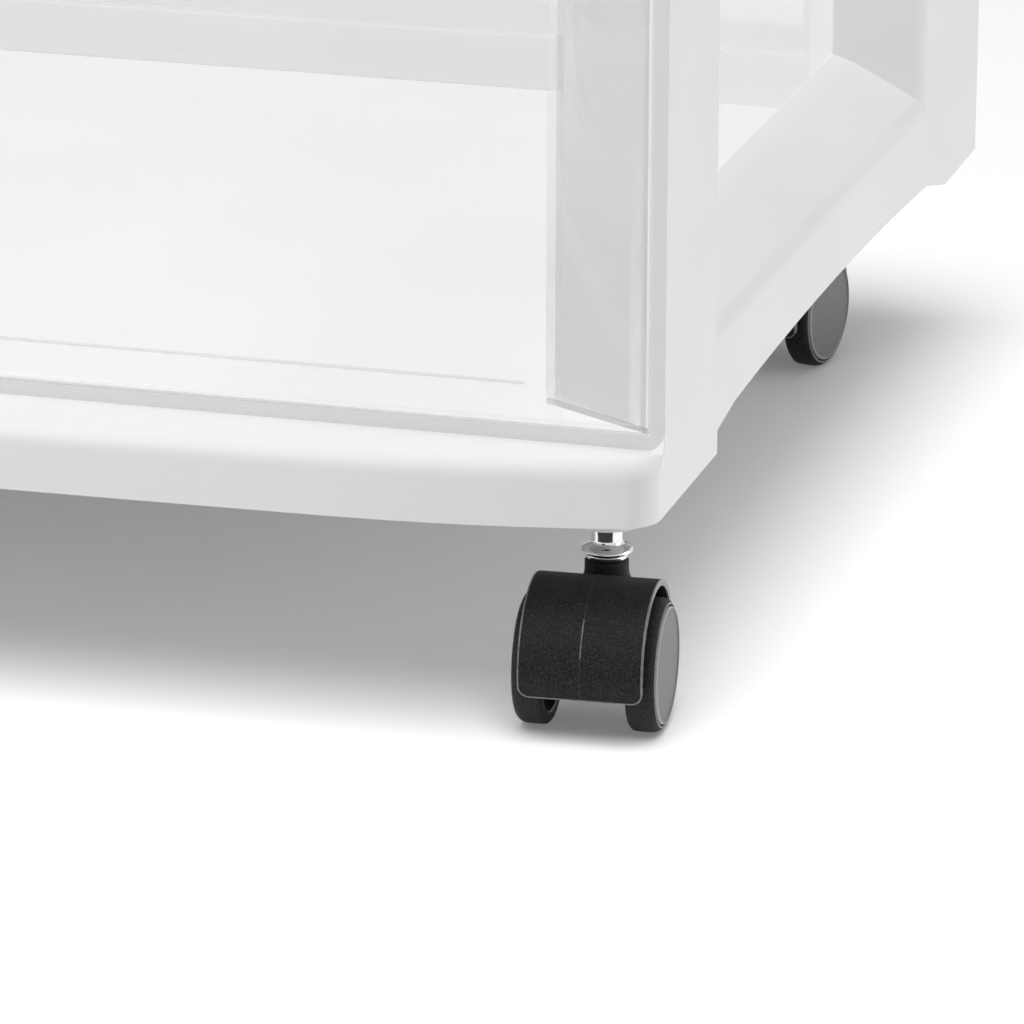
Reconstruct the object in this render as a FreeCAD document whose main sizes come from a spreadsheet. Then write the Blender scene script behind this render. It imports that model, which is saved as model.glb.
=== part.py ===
import FreeCAD, Part
import math
import os
from types import SimpleNamespace

import Sketcher

# A rolling storage cart: a white moulded frame with three windowed tiers, three clear
# drawers and four hooded twin-wheel casters. Millimetres, +Z up, the front faces -Y.
# The origin is on the floor, at the middle of the cart's footprint.

SIZES = {
    # The whole cart
    "frame_width": 580.0,
    "side_depth": 388.0,
    "frame_lift": 60.4,
    "tier_pitch": 186.0,
    "overrun": 2.0,
    # Bowed plan of the base and the top
    "shoulder_inset": 80.0,
    "shoulder_depth": 12.6,
    "shoulder_sag": 2.4,
    "middle_sag": 3.9,
    "front_corner_radius": 10.0,
    "back_corner_radius": 2.0,
    # Base moulding
    "rail_height": 17.0,
    "rail_edge_radius": 5.0,
    "top_edge_radius": 2.0,
    "pan_rise": 3.9,
    "skirt_wall": 3.0,
    "plate_wall": 2.8,
    "rib_wall": 2.4,
    "rib_depth": 10.0,
    "rib_spacing": 150.0,
    "front_foot_rise": 6.3,
    "arch_ramp_run": 19.0,
    "arch_ramp_rise": 2.6,
    "arch_sag": 2.9,
    "back_foot_depth": 44.7,
    "arch_end_run": 26.5,
    "arch_end_rise": 6.3,
    "socket_outer_radius": 9.0,
    "socket_drop": 10.2,
    "socket_clearance": 0.2,
    # Side frames and their windows
    "rim_setback": 11.1,
    "rim_width": 3.9,
    "rebate": 1.2,
    "post_width": 34.5,
    "post_flare": 27.0,
    "post_depth": 54.6,
    "back_post_depth": 77.5,
    "window_wall": 24.0,
    "window_sill_rise": 12.0,
    "window_head_drop": 27.0,
    "bevel_depth": 17.5,
    "bevel_inset": 14.5,
    "lip_depth": 6.0,
    "lip_inset": 2.9,
    "peg_radius": 3.0,
    "peg_length": 5.0,
    "peg_clearance": 0.15,
    "peg_inset": 17.0,
    # Shelves between the drawers
    "shelf_depth": 12.0,
    "shelf_gap": 0.3,
    "tab_width": 30.0,
    "tab_thickness": 6.0,
    "tab_reach": 5.5,
    "tab_inset": 40.0,
    "tab_clearance": 0.2,
    # Top moulding
    "top_depth": 22.0,
    "tray_border": 9.0,
    "tray_depth": 2.5,
    "top_border": 14.0,
    # Drawers
    "drawer_gap": 0.4,
    "drawer_wall": 2.2,
    "drawer_floor": 2.2,
    "drawer_headroom": 2.4,
    "panel_proud": 1.6,
    "panel_wall": 2.4,
    "panel_side_gap": 0.3,
    "panel_corner_radius": 5.0,
    "flare_start": 3.0,
    "flare_run": 28.0,
    "flare_depth": 17.4,
    "tub_depth": 307.8,
    "band_height": 16.3,
    "band_depth": 5.8,
    "apron_drop": 0.8,
    "apron_side_gap": 12.0,
    "apron_slant": 3.0,
    "pull_half_width": 120.0,
    "pull_reach": 22.0,
    "pull_wall": 2.4,
    "pull_end": 7.0,
    "pull_lip": 11.0,
    # Casters
    "front_stem_side_inset": 20.6,
    "front_stem_inset": 32.7,
    "back_stem_side_inset": 51.8,
    "back_stem_inset": 24.4,
    "trail": 14.0,
    "wheel_radius": 17.4,
    "wheel_inner_half_gap": 10.9,
    "tread_width": 5.7,
    "tread_edge": 0.8,
    "rim_wall": 3.5,
    "shoulder_width": 2.0,
    "shoulder_fall": 1.5,
    "face_ring": 0.8,
    "cap_recess": 1.4,
    "web_thickness": 1.8,
    "hub_radius": 4.0,
    "hub_reach": 0.5,
    "cap_gap": 0.2,
    "cap_rim_height": 1.2,
    "cap_edge": 0.5,
    "cap_dome": 0.5,
    "axle_radius": 1.5,
    "running_gap": 0.08,
    "hood_radius": 20.5,
    "hood_rise": 1.5,
    "hood_half_width": 16.2,
    "hood_wall": 1.6,
    "hood_front_fall": 6.0,
    "hood_back_fall": 7.0,
    "web_half_width": 9.8,
    "neck_radius": 5.75,
    "neck_top": 40.5,
    "neck_bore_depth": 13.0,
    "pin_radius": 3.2,
    "pin_end_gap": 0.5,
    "collar_radius": 6.8,
    "collar_seat": 0.3,
    "collar_bevel": 1.3,
    "collar_height": 4.0,
    "stem_radius": 4.0,
    "stem_top_gap": 0.3,
    "stem_tip": 0.8,
    "groove_drop": 4.0,
    "groove_width": 1.6,
    "groove_radius": 3.2,
    "ring_gap": 0.1,
    "ring_height": 1.2,
    "ring_outer_radius": 4.1,
}
TIERS = 3
FRONT_RIGHT_TURN, BACK_RIGHT_TURN = 3.6, -9.3
FRONT_LEFT_TURN, BACK_LEFT_TURN = 5.5, -6.0
RING_ANGLE = 320

doc = FreeCAD.newDocument("rolling_storage_cart")
sheet = doc.addObject("Spreadsheet::Sheet", "Sizes")


class Size:
    """A size: its number, and the expression that ties it to the sheet."""

    def __init__(self, text, number):
        self.text = text
        self.number = number

    def __add__(self, other):
        return Size(f"({self.text} + {words(other)})", self.number + plain(other))

    def __radd__(self, other):
        return Size(f"({words(other)} + {self.text})", plain(other) + self.number)

    def __sub__(self, other):
        return Size(f"({self.text} - {words(other)})", self.number - plain(other))

    def __rsub__(self, other):
        return Size(f"({words(other)} - {self.text})", plain(other) - self.number)

    def __mul__(self, other):
        return Size(f"({self.text} * {words(other)})", self.number * plain(other))

    def __rmul__(self, other):
        return Size(f"({words(other)} * {self.text})", plain(other) * self.number)

    def __truediv__(self, other):
        return Size(f"({self.text} / {words(other)})", self.number / plain(other))

    def __neg__(self):
        return Size(f"(-{self.text})", -self.number)


def words(value):
    return value.text if isinstance(value, Size) else str(value)


def plain(value):
    return value.number if isinstance(value, Size) else value


def root(square):
    return Size(f"sqrt({square.text})", math.sqrt(square.number))


def fill_sheet():
    """Writes one row per size and returns the sizes by name."""
    named = {}
    for row, (alias, number) in enumerate(SIZES.items(), start=1):
        sheet.set(f"A{row}", alias.replace("_", " "))
        sheet.set(f"B{row}", str(number))
        sheet.setAlias(f"B{row}", alias)
        named[alias] = Size(f"Sizes.{alias}", number)
    return SimpleNamespace(**named)


s = fill_sheet()
doc.recompute()

# Places that several pieces share
half = s.frame_width / 2
bow = s.shoulder_depth + s.middle_sag
y_back = (s.side_depth + bow) / 2
y_corner = y_back - s.side_depth
y_shoulder = y_corner - s.shoulder_depth
y_rim = y_corner + s.rim_setback
y_window_front = y_rim + s.post_depth
y_window_back = y_back - s.back_post_depth
z_ledge = s.frame_lift + s.rail_height
z_pan = z_ledge + s.pan_rise
z_top = z_pan + s.tier_pitch * TIERS - s.shelf_depth
bevel_all_depth = s.bevel_depth + s.lip_depth
bevel_all_inset = s.bevel_inset + s.lip_inset
y_axle = -s.trail


# Building blocks
def new_body(name):
    body = doc.addObject("PartDesign::Body", name)
    body.Label = name
    return body


def new_sketch(body, plane, lift=None, across=None, up=None):
    """An empty sketch on one of the body's own origin planes, moved by sizes."""
    sketch = body.newObject("Sketcher::SketchObject", "Sketch")
    support = next(f for f in body.Origin.OriginFeatures if f.Role == plane)
    sketch.AttachmentSupport = [(support, "")]
    sketch.MapMode = "FlatFace"
    for axis, value in (("x", across), ("y", up), ("z", lift)):
        if value is not None:
            sketch.setExpression(f"AttachmentOffset.Base.{axis}", words(value))
    return sketch


def tie(sketch, kind, *where):
    """Adds one constraint whose last value is a size."""
    value = where[-1]
    index = sketch.addConstraint(Sketcher.Constraint(kind, *where[:-1], plain(value)))
    if isinstance(value, Size):
        sketch.setExpression(f"Constraints[{index}]", value.text)


def add_outline(sketch, path):
    """A closed outline. A corner is (x, y), or (x, y, sag) where an arc of that sag,
    bulging to the right of travel, leads to the next corner."""
    edges = []
    for i, corner in enumerate(path):
        following = path[(i + 1) % len(path)]
        p = FreeCAD.Vector(plain(corner[0]), plain(corner[1]), 0)
        q = FreeCAD.Vector(plain(following[0]), plain(following[1]), 0)
        if len(corner) == 2:
            edges.append((sketch.addGeometry(Part.LineSegment(p, q)), 1, 2))
            continue
        run = q - p
        side = FreeCAD.Vector(run.y, -run.x, 0).normalize()
        middle = (p + q) / 2 + side * plain(corner[2])
        edge = sketch.addGeometry(Part.Arc(p, middle, q))
        forward = sketch.getPoint(edge, 1).distanceToPoint(p) < p.distanceToPoint(q) / 2
        edges.append((edge, 1, 2) if forward else (edge, 2, 1))
        dx, dy = following[0] - corner[0], following[1] - corner[1]
        sag = corner[2] if plain(corner[2]) > 0 else -corner[2]
        tie(sketch, "Radius", edge, (dx * dx + dy * dy) / (8 * sag) + sag / 2)
    for i, (edge, start, end) in enumerate(edges):
        following, its_start, _ = edges[(i + 1) % len(edges)]
        sketch.addConstraint(Sketcher.Constraint("Coincident", edge, end, following, its_start))
        tie(sketch, "DistanceX", -1, 1, edge, start, path[i][0])
        tie(sketch, "DistanceY", -1, 1, edge, start, path[i][1])


def add_circle(sketch, x, y, radius):
    centre = FreeCAD.Vector(plain(x), plain(y), 0)
    up = FreeCAD.Vector(0, 0, 1)
    edge = sketch.addGeometry(Part.Circle(centre, up, plain(radius)))
    tie(sketch, "DistanceX", -1, 1, edge, 3, x)
    tie(sketch, "DistanceY", -1, 1, edge, 3, y)
    tie(sketch, "Radius", edge, radius)


def rectangle(x0, x1, y0, y1):
    return [(x1, y1), (x0, y1), (x0, y0), (x1, y0)]


def outline(body, plane, path, lift=None, across=None, up=None):
    sketch = new_sketch(body, plane, lift, across, up)
    add_outline(sketch, path)
    return sketch


def volume(body):
    doc.recompute()
    return body.Shape.Volume if body.Tip else 0


def extruded(body, kind, sketch, length, backwards, grows):
    """Pads or pockets a sketch and makes sure that it changed the solid."""
    before = volume(body)
    feature = body.newObject(kind, kind.split("::")[1])
    feature.Profile = sketch
    feature.setExpression("Length", words(length))
    feature.Reversed = backwards
    after = volume(body)
    if (after > before) != grows or after == before:
        raise ValueError(f"{feature.Name} of {body.Name} changed nothing")
    return feature


def pad(body, sketch, length, backwards=False):
    return extruded(body, "PartDesign::Pad", sketch, length, backwards, True)


def pocket(body, sketch, length, backwards=False):
    return extruded(body, "PartDesign::Pocket", sketch, length, backwards, False)


def loft(body, kind, sketches):
    before = volume(body)
    feature = body.newObject(kind, "Loft")
    feature.Profile = sketches[0]
    feature.Sections = sketches[1:]
    feature.Ruled = True
    if volume(body) == before:
        raise ValueError(f"{feature.Name} of {body.Name} changed nothing")
    return feature


def spin(body, sketch, axis, angle=360):
    feature = body.newObject("PartDesign::Revolution", "Revolution")
    feature.Profile = sketch
    feature.ReferenceAxis = (sketch, [axis])
    feature.Angle = angle
    doc.recompute()
    return feature


def near(a, b):
    return abs(plain(a) - plain(b)) < plain(s.running_gap)


def round_edges(body, chosen, radius):
    """Fillets the edges of the body's tip that the test chosen picks."""
    doc.recompute()
    base = body.Tip
    names = [f"Edge{i}" for i, e in enumerate(base.Shape.Edges, start=1) if chosen(e)]
    feature = body.newObject("PartDesign::Fillet", "Fillet")
    feature.Base = (base, names)
    feature.setExpression("Radius", words(radius))
    doc.recompute()
    return feature


def upright_at(x, y):
    """Picks upright edges that stand at a place, on either side of the cart."""

    def chosen(edge):
        a, b = edge.Vertexes[0].Point, edge.Vertexes[-1].Point
        level = near(a.x, b.x) and near(a.y, b.y) and not near(a.z, b.z)
        return level and near(abs(a.x), x) and near(a.y, y)

    return chosen


def bowed_plan(inset):
    """The plan that the base and the top share, drawn in by inset."""
    x, y0 = half - inset, y_corner + inset
    x1, y1 = half - s.shoulder_inset, y_shoulder + inset
    return [
        (x, y_back - inset),
        (-x, y_back - inset),
        (-x, y0, s.shoulder_sag),
        (-x1, y1, s.middle_sag),
        (x1, y1, s.shoulder_sag),
        (x, y0),
    ]


def round_plan_corners(body):
    round_edges(body, upright_at(half, y_corner), s.front_corner_radius)
    round_edges(body, upright_at(half, y_back), s.back_corner_radius)


def post_pegs(sketch, radius):
    """Four circles, one over the middle of each post."""
    x = half - s.peg_inset
    for y in (y_rim + s.post_flare + s.peg_inset, y_back - s.peg_inset):
        add_circle(sketch, x, y, radius)
        add_circle(sketch, -x, y, radius)


def stem_places():
    """The four caster stems: name, x, y and the way that the caster is turned."""
    x_front, y_front = half - s.front_stem_side_inset, y_corner + s.front_stem_inset
    x_rear, y_rear = half - s.back_stem_side_inset, y_back - s.back_stem_inset
    return [
        ("front_right", x_front, y_front, FRONT_RIGHT_TURN),
        ("front_left", -x_front, y_front, FRONT_LEFT_TURN),
        ("back_right", x_rear, y_rear, BACK_RIGHT_TURN),
        ("back_left", -x_rear, y_rear, BACK_LEFT_TURN),
    ]


# Base moulding
def round_rail_top(body):
    """Eases the front rail's top edge, from corner to corner."""

    def chosen(edge):
        box = edge.BoundBox
        at_top = near(box.ZMin, z_ledge) and near(box.ZMax, z_ledge)
        return at_top and box.YMax < plain(y_rim)

    round_edges(body, chosen, s.rail_edge_radius)


def arch_path(low):
    """The long arch between the feet, seen from the side."""
    y_arch_end = y_back - s.back_foot_depth - s.arch_end_run
    z_front = s.frame_lift + s.front_foot_rise
    z_back = s.frame_lift + s.arch_end_rise
    return [
        (y_window_front, low),
        (y_window_front, z_front),
        (y_window_front + s.arch_ramp_run, z_front + s.arch_ramp_rise, -s.arch_sag),
        (y_arch_end, z_back),
        (y_back - s.back_foot_depth, s.frame_lift),
        (y_back - s.back_foot_depth, low),
    ]


def base_frame():
    body = new_body("base_frame")
    pad(body, outline(body, "XY_Plane", bowed_plan(0), s.frame_lift), s.rail_height)
    round_plan_corners(body)
    round_rail_top(body)
    back = y_back - s.back_corner_radius
    pan = rectangle(-half, half, y_rim, back)
    pad(body, outline(body, "XY_Plane", pan, z_ledge), s.pan_rise)
    x = half - s.back_corner_radius
    strip = rectangle(-x, x, back, y_back)
    pad(body, outline(body, "XY_Plane", strip, z_ledge), s.pan_rise)
    arch = arch_path(s.frame_lift - s.overrun)
    cut = outline(body, "YZ_Plane", arch, -half - s.overrun)
    pocket(body, cut, s.frame_width + 2 * s.overrun, backwards=True)
    hollow_base(body)
    sockets(body)
    pegs = new_sketch(body, "XY_Plane", z_pan)
    post_pegs(pegs, s.peg_radius)
    pad(body, pegs, s.peg_length)
    return body


def hollow_base(body):
    """Opens the moulding from below and ribs it."""
    wall = s.skirt_wall
    inside = outline(body, "XY_Plane", bowed_plan(wall), s.frame_lift)
    pocket(body, inside, s.rail_height - s.plate_wall, backwards=True)
    under_pan = rectangle(wall - half, half - wall, y_rim + wall, y_back - s.back_corner_radius)
    sketch = outline(body, "XY_Plane", under_pan, z_ledge - s.plate_wall - s.overrun)
    pocket(body, sketch, s.pan_rise + s.overrun, backwards=True)
    y_front = y_corner + s.front_stem_inset
    y_rear = y_back - s.back_stem_inset
    z_rib = z_pan - s.plate_wall - s.rib_depth
    across = new_sketch(body, "XY_Plane", z_rib)
    for y in (y_front, y_rear):
        span = rectangle(wall / 2 - half, half - wall / 2, y - s.rib_wall / 2, y + s.rib_wall / 2)
        add_outline(across, span)
    pad(body, across, s.rib_depth + s.plate_wall / 2)
    along = new_sketch(body, "XY_Plane", z_rib)
    for x in (-s.rib_spacing, 0, s.rib_spacing):
        add_outline(along, rectangle(x - s.rib_wall / 2, x + s.rib_wall / 2, y_front, y_rear))
    pad(body, along, s.rib_depth + s.plate_wall / 2)


def sockets(body):
    """Four tubes that the caster stems push into."""
    z_low = s.frame_lift - s.socket_drop
    depth = z_pan - s.plate_wall - z_low
    tubes = new_sketch(body, "XY_Plane", z_low)
    for _, x, y, _ in stem_places():
        add_circle(tubes, x, y, s.socket_outer_radius)
    pad(body, tubes, depth + s.plate_wall / 2)
    bores = new_sketch(body, "XY_Plane", z_low)
    for _, x, y, _ in stem_places():
        add_circle(bores, x, y, s.stem_radius + s.socket_clearance)
    pocket(body, bores, depth, backwards=True)


# Side frames
def side_plan(side):
    """One side frame seen from above: two posts joined by a thinner wall."""
    post, wall = half - s.post_width, half - s.window_wall
    corners = [
        (half, y_rim),
        (half, y_back),
        (post, y_back),
        (post, y_window_back),
        (wall, y_window_back),
        (wall, y_window_front),
        (post, y_window_front),
        (post, y_rim + s.post_flare),
        (half - s.rim_width, y_rim + s.rebate),
        (half - s.rim_width, y_rim),
    ]
    return [(x * side, y) for x, y in corners]


def window(body, side, z_sill):
    """A window whose sides slope inwards to an upright lip."""
    z_head = z_sill + s.tier_pitch - s.window_sill_rise - s.window_head_drop
    sections = []
    for depth, inset in (
        (0, 0),
        (s.bevel_depth, s.bevel_inset),
        (bevel_all_depth, bevel_all_inset),
    ):
        y0, y1 = y_window_front + inset, y_window_back - inset
        path = rectangle(y0, y1, z_sill + inset, z_head - inset)
        sections.append(outline(body, "YZ_Plane", path, (half - depth) * side))
    loft(body, "PartDesign::SubtractiveLoft", sections)
    y0, y1 = y_window_front + bevel_all_inset, y_window_back - bevel_all_inset
    path = rectangle(y0, y1, z_sill + bevel_all_inset, z_head - bevel_all_inset)
    through = outline(body, "YZ_Plane", path, (half - bevel_all_depth + s.lip_depth) * side)
    depth = s.window_wall - bevel_all_depth + s.lip_depth + s.overrun
    pocket(body, through, depth, backwards=side < 0)


def tab_places():
    """Front and back edges of the shelves' tabs."""
    front = y_window_front + s.tab_inset
    back = y_window_back - s.tab_inset
    return [(front, front + s.tab_width), (back - s.tab_width, back)]


def side_frame(name, side):
    body = new_body(name)
    plan = outline(body, "XY_Plane", side_plan(side), z_pan)
    pad(body, plan, z_top - z_pan)
    round_edges(body, upright_at(half, y_back), s.back_corner_radius)
    for tier in range(TIERS):
        window(body, side, z_pan + s.tier_pitch * tier + s.window_sill_rise)
    slots = new_sketch(body, "YZ_Plane", (half - s.window_wall) * side)
    gap = s.tab_clearance
    for tier in range(1, TIERS):
        z_tab = z_pan + s.tier_pitch * tier - s.tab_thickness
        for front, back in tab_places():
            path = rectangle(front - gap, back + gap, z_tab - gap, z_tab + s.tab_thickness + gap)
            add_outline(slots, path)
    pocket(body, slots, s.tab_reach + gap, backwards=side > 0)
    x = (half - s.peg_inset) * side
    hole = s.peg_radius + s.peg_clearance
    for z, upwards in ((z_pan, True), (z_top, False)):
        holes = new_sketch(body, "XY_Plane", z)
        for y in (y_rim + s.post_flare + s.peg_inset, y_back - s.peg_inset):
            add_circle(holes, x, y, hole)
        pocket(body, holes, s.peg_length + s.peg_clearance, backwards=upwards)
    return body


# Shelves
def shelf_plan(inset):
    """A shelf between the side frames: flared like the posts in front, and wider
    between the posts, where it reaches the window wall."""
    front = half - s.rim_width - s.shelf_gap - inset
    side = half - s.post_width - s.shelf_gap - inset
    wing = half - s.window_wall - s.shelf_gap - inset
    clear = s.shelf_gap + inset
    right = [
        (front, y_rim + inset),
        (side, y_rim + s.post_flare),
        (side, y_window_front + clear),
        (wing, y_window_front + clear),
        (wing, y_window_back - clear),
        (side, y_window_back - clear),
        (side, y_back - inset),
    ]
    return right + [(-x, y) for x, y in reversed(right)]


def shelf(name, tier):
    body = new_body(name)
    z_floor = z_pan + s.tier_pitch * tier
    z_low = z_floor - s.shelf_depth
    pad(body, outline(body, "XY_Plane", shelf_plan(0), z_low), s.shelf_depth)
    tabs = new_sketch(body, "XY_Plane", z_floor - s.tab_thickness)
    reach = half - s.window_wall + s.tab_reach
    for front, back in tab_places():
        add_outline(tabs, rectangle(-reach, reach, front, back))
    pad(body, tabs, s.tab_thickness)
    inside = outline(body, "XY_Plane", shelf_plan(s.skirt_wall), z_low)
    pocket(body, inside, s.shelf_depth - s.plate_wall, backwards=True)
    ribs = new_sketch(body, "XY_Plane", z_low)
    for x in (-s.rib_spacing, s.rib_spacing):
        y0, y1 = y_rim + s.skirt_wall / 2, y_back - s.skirt_wall / 2
        add_outline(ribs, rectangle(x - s.rib_wall / 2, x + s.rib_wall / 2, y0, y1))
    pad(body, ribs, s.shelf_depth - s.plate_wall / 2)
    return body


# Top moulding
def top_panel():
    body = new_body("top_panel")
    pad(body, outline(body, "XY_Plane", bowed_plan(0), z_top), s.top_depth)
    round_plan_corners(body)

    def rim(edge):
        box = edge.BoundBox
        return near(box.ZMin, z_top + s.top_depth) and near(box.ZMax, z_top + s.top_depth)

    round_edges(body, rim, s.top_edge_radius)
    tray = outline(body, "XY_Plane", bowed_plan(s.tray_border), z_top + s.top_depth)
    pocket(body, tray, s.tray_depth)
    x = half - s.post_width - s.skirt_wall
    y0, y1 = y_corner + s.top_border, y_back - s.top_border
    under = outline(body, "XY_Plane", rectangle(-x, x, y0, y1), z_top)
    pocket(body, under, s.top_depth - s.tray_depth - s.plate_wall, backwards=True)
    pegs = new_sketch(body, "XY_Plane", z_top)
    post_pegs(pegs, s.peg_radius)
    pad(body, pegs, s.peg_length, backwards=True)
    return body


# Drawers
x_flare = half - s.rim_width - s.panel_side_gap - s.flare_start
x_tub = x_flare - s.flare_run
y_panel = y_rim - s.panel_proud
y_panel_back = y_panel + s.panel_wall
y_tub = y_panel_back + s.flare_depth
y_tub_back = y_tub + s.tub_depth


def tub_inside(back_shift):
    """The tub's hollow seen from above, its back wall moved in by back_shift."""
    slant = root(s.flare_run * s.flare_run + s.flare_depth * s.flare_depth)
    x_front = x_flare - s.drawer_wall * slant / s.flare_depth
    x_side = x_tub - s.drawer_wall
    y_side = y_panel_back + (x_front - x_side) * s.flare_depth / s.flare_run
    y_far = y_tub_back - s.drawer_wall - back_shift
    left = [(-x_side, y_far), (-x_side, y_side), (-x_front, y_panel_back)]
    right = [(x_front, y_panel_back), (x_side, y_side), (x_side, y_far)]
    return left + right


def drawer(name, tier):
    body = new_body(name)
    z_low = z_pan + s.tier_pitch * tier + s.drawer_gap
    height = s.tier_pitch - s.shelf_depth - s.drawer_headroom - s.drawer_gap
    left = [(-x_tub, y_tub_back), (-x_tub, y_tub), (-x_flare, y_panel_back)]
    right = [(x_flare, y_panel_back), (x_tub, y_tub), (x_tub, y_tub_back)]
    pad(body, outline(body, "XY_Plane", left + right, z_low), height)
    x_panel = half - s.rim_width - s.panel_side_gap
    front = rectangle(-x_panel, x_panel, z_low, z_low + height)
    pad(body, outline(body, "XZ_Plane", front, -y_panel_back), s.panel_wall)
    chosen = corners_of_panel(x_panel, (z_low, z_low + height))
    round_edges(body, chosen, s.panel_corner_radius)
    z_floor = z_low + s.drawer_floor
    z_band = z_floor + s.band_height
    lower = outline(body, "XY_Plane", tub_inside(s.band_depth), z_band)
    pocket(body, lower, s.band_height)
    upper = outline(body, "XY_Plane", tub_inside(0), z_low + height)
    pocket(body, upper, height - s.drawer_floor - s.band_height)
    x_apron = x_tub - s.apron_side_gap
    apron = [
        (x_apron + s.apron_slant, y_tub),
        (-x_apron - s.apron_slant, y_tub),
        (-x_apron, y_panel_back),
        (x_apron, y_panel_back),
    ]
    pocket(body, outline(body, "XY_Plane", apron, z_floor), s.apron_drop)
    drawer_pull(body, z_low + height)
    return body


def corners_of_panel(x, levels):
    """Picks the short edges through the front panel's corners."""

    def chosen(edge):
        a, b = edge.Vertexes[0].Point, edge.Vertexes[-1].Point
        through = near(a.x, b.x) and near(a.z, b.z) and near(abs(a.x), x)
        return through and any(near(a.z, level) for level in levels)

    return chosen


def drawer_pull(body, z_rim):
    """A bowed lip along the top of the front, turned down for the fingers."""
    w, y0 = s.pull_half_width, y_panel
    shelf_path = [(w, y0), (-w, y0, s.pull_reach)]
    pad(body, outline(body, "XY_Plane", shelf_path, z_rim), s.pull_wall, backwards=True)
    inner = w - s.pull_end
    bow_in = s.pull_reach - s.pull_wall
    lip_path = [(-w, y0, s.pull_reach), (w, y0), (inner, y0, -bow_in), (-inner, y0)]
    pad(body, outline(body, "XY_Plane", lip_path, z_rim), s.pull_lip, backwards=True)


# Casters
def place(body, x, y, turn):
    body.setExpression("Placement.Base.x", words(x))
    body.setExpression("Placement.Base.y", words(y))
    body.Placement.Rotation = FreeCAD.Rotation(FreeCAD.Vector(0, 0, 1), turn)
    return body


z_collar = s.neck_top + s.collar_seat
z_stem = z_collar + s.collar_height
z_stem_top = z_pan - s.plate_wall - s.stem_top_gap
z_groove = z_stem_top - s.groove_drop


def caster_stem(name):
    """Turned steel: swivel pin, collar, stem and the groove for its ring."""
    body = new_body(name)
    pin_low = s.neck_top - s.neck_bore_depth + s.pin_end_gap
    bevel = s.collar_bevel
    path = [
        (0, pin_low),
        (s.pin_radius, pin_low),
        (s.pin_radius, z_collar),
        (s.collar_radius - bevel, z_collar),
        (s.collar_radius, z_collar + bevel),
        (s.collar_radius, z_collar + s.collar_height - bevel - bevel),
        (s.stem_radius + bevel, z_stem),
        (s.stem_radius, z_stem),
        (s.stem_radius, z_groove - s.groove_width),
        (s.groove_radius, z_groove - s.groove_width),
        (s.groove_radius, z_groove),
        (s.stem_radius, z_groove),
        (s.stem_radius, z_stem_top - s.stem_tip),
        (s.stem_radius - s.stem_tip, z_stem_top),
        (0, z_stem_top),
    ]
    spin(body, outline(body, "XZ_Plane", path), "V_Axis")
    return body


def grip_ring(name):
    """A split spring ring that grips the socket."""
    body = new_body(name)
    z_low = z_groove - (s.groove_width + s.ring_height) / 2
    inner = s.groove_radius + s.ring_gap
    path = rectangle(inner, s.ring_outer_radius, z_low, z_low + s.ring_height)
    spin(body, outline(body, "XZ_Plane", path), "V_Axis", RING_ANGLE)
    return body


def hood_path(radius):
    """The hood from the side: a round back over the wheels, open below."""
    z_mid = s.wheel_radius + s.hood_rise
    front = root(radius * radius - s.hood_front_fall * s.hood_front_fall)
    back = root(radius * radius - s.hood_back_fall * s.hood_back_fall)
    dx, dz = front + back, s.hood_front_fall - s.hood_back_fall
    half_chord = root(dx * dx + dz * dz) / 2
    sag = radius + root(radius * radius - half_chord * half_chord)
    low_front = (y_axle - front, z_mid - s.hood_front_fall)
    low_back = (y_axle + back, z_mid - s.hood_back_fall, sag)
    return [low_back, low_front]


def caster_hood(name):
    body = new_body(name)
    side = outline(body, "YZ_Plane", hood_path(s.hood_radius), -s.hood_half_width)
    pad(body, side, 2 * s.hood_half_width)
    neck = new_sketch(body, "XY_Plane", s.wheel_radius + s.hood_rise)
    add_circle(neck, 0, 0, s.neck_radius)
    pad(body, neck, s.neck_top - s.wheel_radius - s.hood_rise)
    depth = s.hood_half_width - s.web_half_width
    for x in (-s.hood_half_width, s.web_half_width):
        well = new_sketch(body, "YZ_Plane", x)
        add_circle(well, y_axle, s.wheel_radius + s.hood_rise, s.hood_radius - s.hood_wall)
        pocket(body, well, depth, backwards=True)
    bore = new_sketch(body, "XY_Plane", s.neck_top)
    add_circle(bore, 0, 0, s.pin_radius + s.running_gap)
    pocket(body, bore, s.neck_bore_depth)
    hole = new_sketch(body, "YZ_Plane", -s.web_half_width)
    add_circle(hole, y_axle, s.wheel_radius, s.axle_radius + s.running_gap)
    pocket(body, hole, 2 * s.web_half_width, backwards=True)
    return body


def caster_axle(name):
    body = new_body(name)
    reach = s.wheel_inner_half_gap + s.tread_width + s.shoulder_width - s.cap_recess
    section = new_sketch(body, "YZ_Plane", -reach)
    add_circle(section, y_axle, s.wheel_radius, s.axle_radius)
    pad(body, section, 2 * reach)
    return body


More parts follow.
